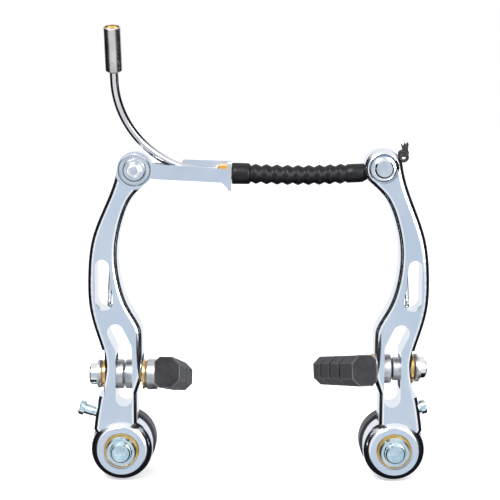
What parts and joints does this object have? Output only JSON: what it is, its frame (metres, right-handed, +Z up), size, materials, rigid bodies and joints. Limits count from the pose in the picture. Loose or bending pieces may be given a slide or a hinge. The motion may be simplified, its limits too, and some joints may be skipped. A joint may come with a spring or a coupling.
{
  "type": "rim brake caliper",
  "caption": "Linear-pull bicycle rim brake pair: polished arms with pads, bent cable guide, bellows boot and spring cups for frame posts.",
  "frame": {"origin": "midway between the two pivot axes, on the plane where the pivot sleeves meet the frame's brake posts", "axes": "+X to the right as the brake's front is looked at, +Y to the rear, towards the bicycle frame, +Z up; metres"},
  "size_m": [0.1318, 0.0617, 0.1687],
  "materials": {
    "arm_alloy": "polished forged aluminium alloy, clear lacquer",
    "zinc_steel": "bright blue-white zinc plated steel",
    "holder_steel": "nickel plated pressed sheet steel",
    "noodle_steel": "polished stainless tube",
    "ferrule_alloy": "satin turned alloy",
    "gold_brass": "bright brass",
    "grey_steel": "dull zinc plated washers",
    "sleeve_steel": "turned steel, lightly oiled",
    "spring_steel": "bright spring wire",
    "cup_nylon": "moulded black nylon",
    "liner_plastic": "amber low-friction liner",
    "boot_rubber": "satin black rubber bellows",
    "pad_rubber": "worn-dull charcoal brake rubber",
    "cord_rubber": "black cord, knotted"
  },
  "bodies": {
    "frame_side": {"left_pivot_sleeve": "sleeve_steel", "left_pivot_washer": "gold_brass", "left_pivot_bolt": "zinc_steel", "left_spring_cup": "cup_nylon", "right_pivot_sleeve": "sleeve_steel", "right_pivot_washer": "gold_brass", "right_pivot_bolt": "zinc_steel", "right_spring_cup": "cup_nylon"},
    "left_arm": {"left_arm": "arm_alloy", "left_pivot_bush": "gold_brass", "left_spring_peg": "zinc_steel", "left_return_spring": "spring_steel", "holder_pin": "zinc_steel", "holder_clip": "zinc_steel"},
    "left_tension_screw": {"left_tension_screw": "zinc_steel"},
    "left_shoe_seat": {"left_shoe_domes": "gold_brass", "left_slot_washers": "grey_steel"},
    "left_shoe_tilt": {"left_shoe_cups": "grey_steel"},
    "left_shoe": {"left_shoe_pad": "pad_rubber", "left_shoe_stud": "zinc_steel", "left_shoe_nut": "zinc_steel"},
    "right_arm": {"right_arm": "arm_alloy", "right_pivot_bush": "gold_brass", "right_spring_peg": "zinc_steel", "right_return_spring": "spring_steel", "anchor_bolt": "zinc_steel", "anchor_washer": "zinc_steel", "cord_end": "cord_rubber"},
    "right_tension_screw": {"right_tension_screw": "zinc_steel"},
    "right_shoe_seat": {"right_shoe_domes": "gold_brass", "right_slot_washers": "grey_steel"},
    "right_shoe_tilt": {"right_shoe_cups": "grey_steel"},
    "right_shoe": {"right_shoe_pad": "pad_rubber", "right_shoe_stud": "zinc_steel", "right_shoe_nut": "zinc_steel"},
    "holder": {"noodle_holder": "holder_steel"},
    "noodle": {"noodle_tube": "noodle_steel", "noodle_ferrule": "ferrule_alloy", "noodle_liner": "liner_plastic", "noodle_tip": "gold_brass", "boot": "boot_rubber", "retaining_cord": "cord_rubber"}
  },
  "joints": [
    {"name": "left_arm_pivot", "type": "hinge", "parent": "frame_side", "child": "left_arm", "pos_m": [-0.051, 0, 0], "axis": [0, 1, 0], "range_deg": [0, 8], "stiffness_Nm_per_rad": 1.2, "springref_deg": -20.05, "deforming": ["left_return_spring", "boot", "retaining_cord"]},
    {"name": "left_screw_turn", "type": "hinge", "parent": "left_arm", "child": "left_tension_screw", "pos_m": [-0.0662, -0.014, 0.0148], "axis": [0.9511, 0, -0.309], "range_deg": [-180, 180]},
    {"name": "left_shoe_height", "type": "slide", "parent": "left_arm", "child": "left_shoe_seat", "axis": [0, 0, 1], "range_m": [-0.0016, 0.0044]},
    {"name": "left_shoe_toe", "type": "hinge", "parent": "left_shoe_seat", "child": "left_shoe_tilt", "pos_m": [-0.0499, -0.014, 0.0278], "axis": [0, 0, -1], "range_deg": [-9, 9]},
    {"name": "left_shoe_swivel", "type": "hinge", "parent": "left_shoe_tilt", "child": "left_shoe", "pos_m": [-0.0499, -0.014, 0.0278], "axis": [0.9994, -0.0349, 0], "range_deg": [-15, 15]},
    {"name": "right_arm_pivot", "type": "hinge", "parent": "frame_side", "child": "right_arm", "pos_m": [0.051, 0, 0], "axis": [0, -1, 0], "range_deg": [0, 8], "stiffness_Nm_per_rad": 1.2, "springref_deg": -20.05, "deforming": ["right_return_spring"]},
    {"name": "right_screw_turn", "type": "hinge", "parent": "right_arm", "child": "right_tension_screw", "pos_m": [0.0622, -0.014, 0.0156], "axis": [-0.9511, 0, -0.309], "range_deg": [-180, 180]},
    {"name": "right_shoe_height", "type": "slide", "parent": "right_arm", "child": "right_shoe_seat", "axis": [0, 0, 1], "range_m": [-0.004, 0.002]},
    {"name": "right_shoe_toe", "type": "hinge", "parent": "right_shoe_seat", "child": "right_shoe_tilt", "pos_m": [0.0499, -0.014, 0.0302], "axis": [0, 0, 1], "range_deg": [-15, 0.3]},
    {"name": "right_shoe_swivel", "type": "hinge", "parent": "right_shoe_tilt", "child": "right_shoe", "pos_m": [0.0499, -0.014, 0.0302], "axis": [-0.9816, -0.1908, 0], "range_deg": [-15, 15]},
    {"name": "holder_pivot", "type": "hinge", "parent": "left_arm", "child": "holder", "pos_m": [-0.0454, -0.014, 0.1049], "axis": [0, 1, 0], "range_deg": [-8, 0]},
    {"name": "noodle_swivel", "type": "hinge", "parent": "holder", "child": "noodle", "pos_m": [-0.011, -0.0142, 0.1034], "axis": [1, 0, 0], "range_deg": [-12, 12]}
  ],
  "couplings": [
    {"joint": "right_arm_pivot", "follows": "left_arm_pivot", "ratio": 1},
    {"joint": "holder_pivot", "follows": "left_arm_pivot", "ratio": -1}
  ]
}
